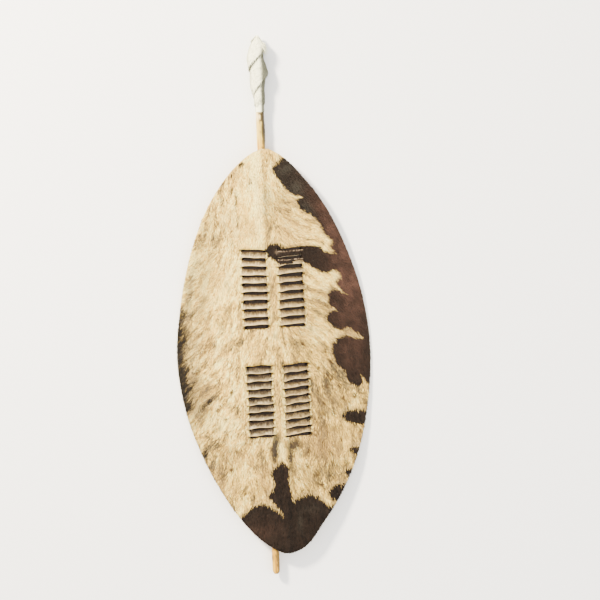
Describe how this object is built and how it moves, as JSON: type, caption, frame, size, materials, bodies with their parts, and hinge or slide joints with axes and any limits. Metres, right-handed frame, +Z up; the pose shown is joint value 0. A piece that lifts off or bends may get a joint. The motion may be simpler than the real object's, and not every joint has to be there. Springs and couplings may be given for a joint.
{
  "type": "hide shield",
  "caption": "Pointed oval cowhide shield with the hair on, laced in four columns of slits to a peeled stick with a wound fur top, lying hair side up.",
  "frame": {"origin": "middle of the bounding box in X and Y, on the ground that the shield lies on", "axes": "+Y along the stick towards its fur-wrapped top, +Z up through the hair side, +X to the right as seen from the hair side with the fur wrap at the top"},
  "size_m": [0.3344, 0.932, 0.0303],
  "materials": {
    "hide": "matte",
    "lace": "matte",
    "stick": "satin",
    "fur": "matte"
  },
  "bodies": {
    "root": {"hide": "hide", "lace_upper": "lace", "lace_lower": "lace", "stick": "stick", "fur_wrap": "fur"}
  },
  "joints": []
}
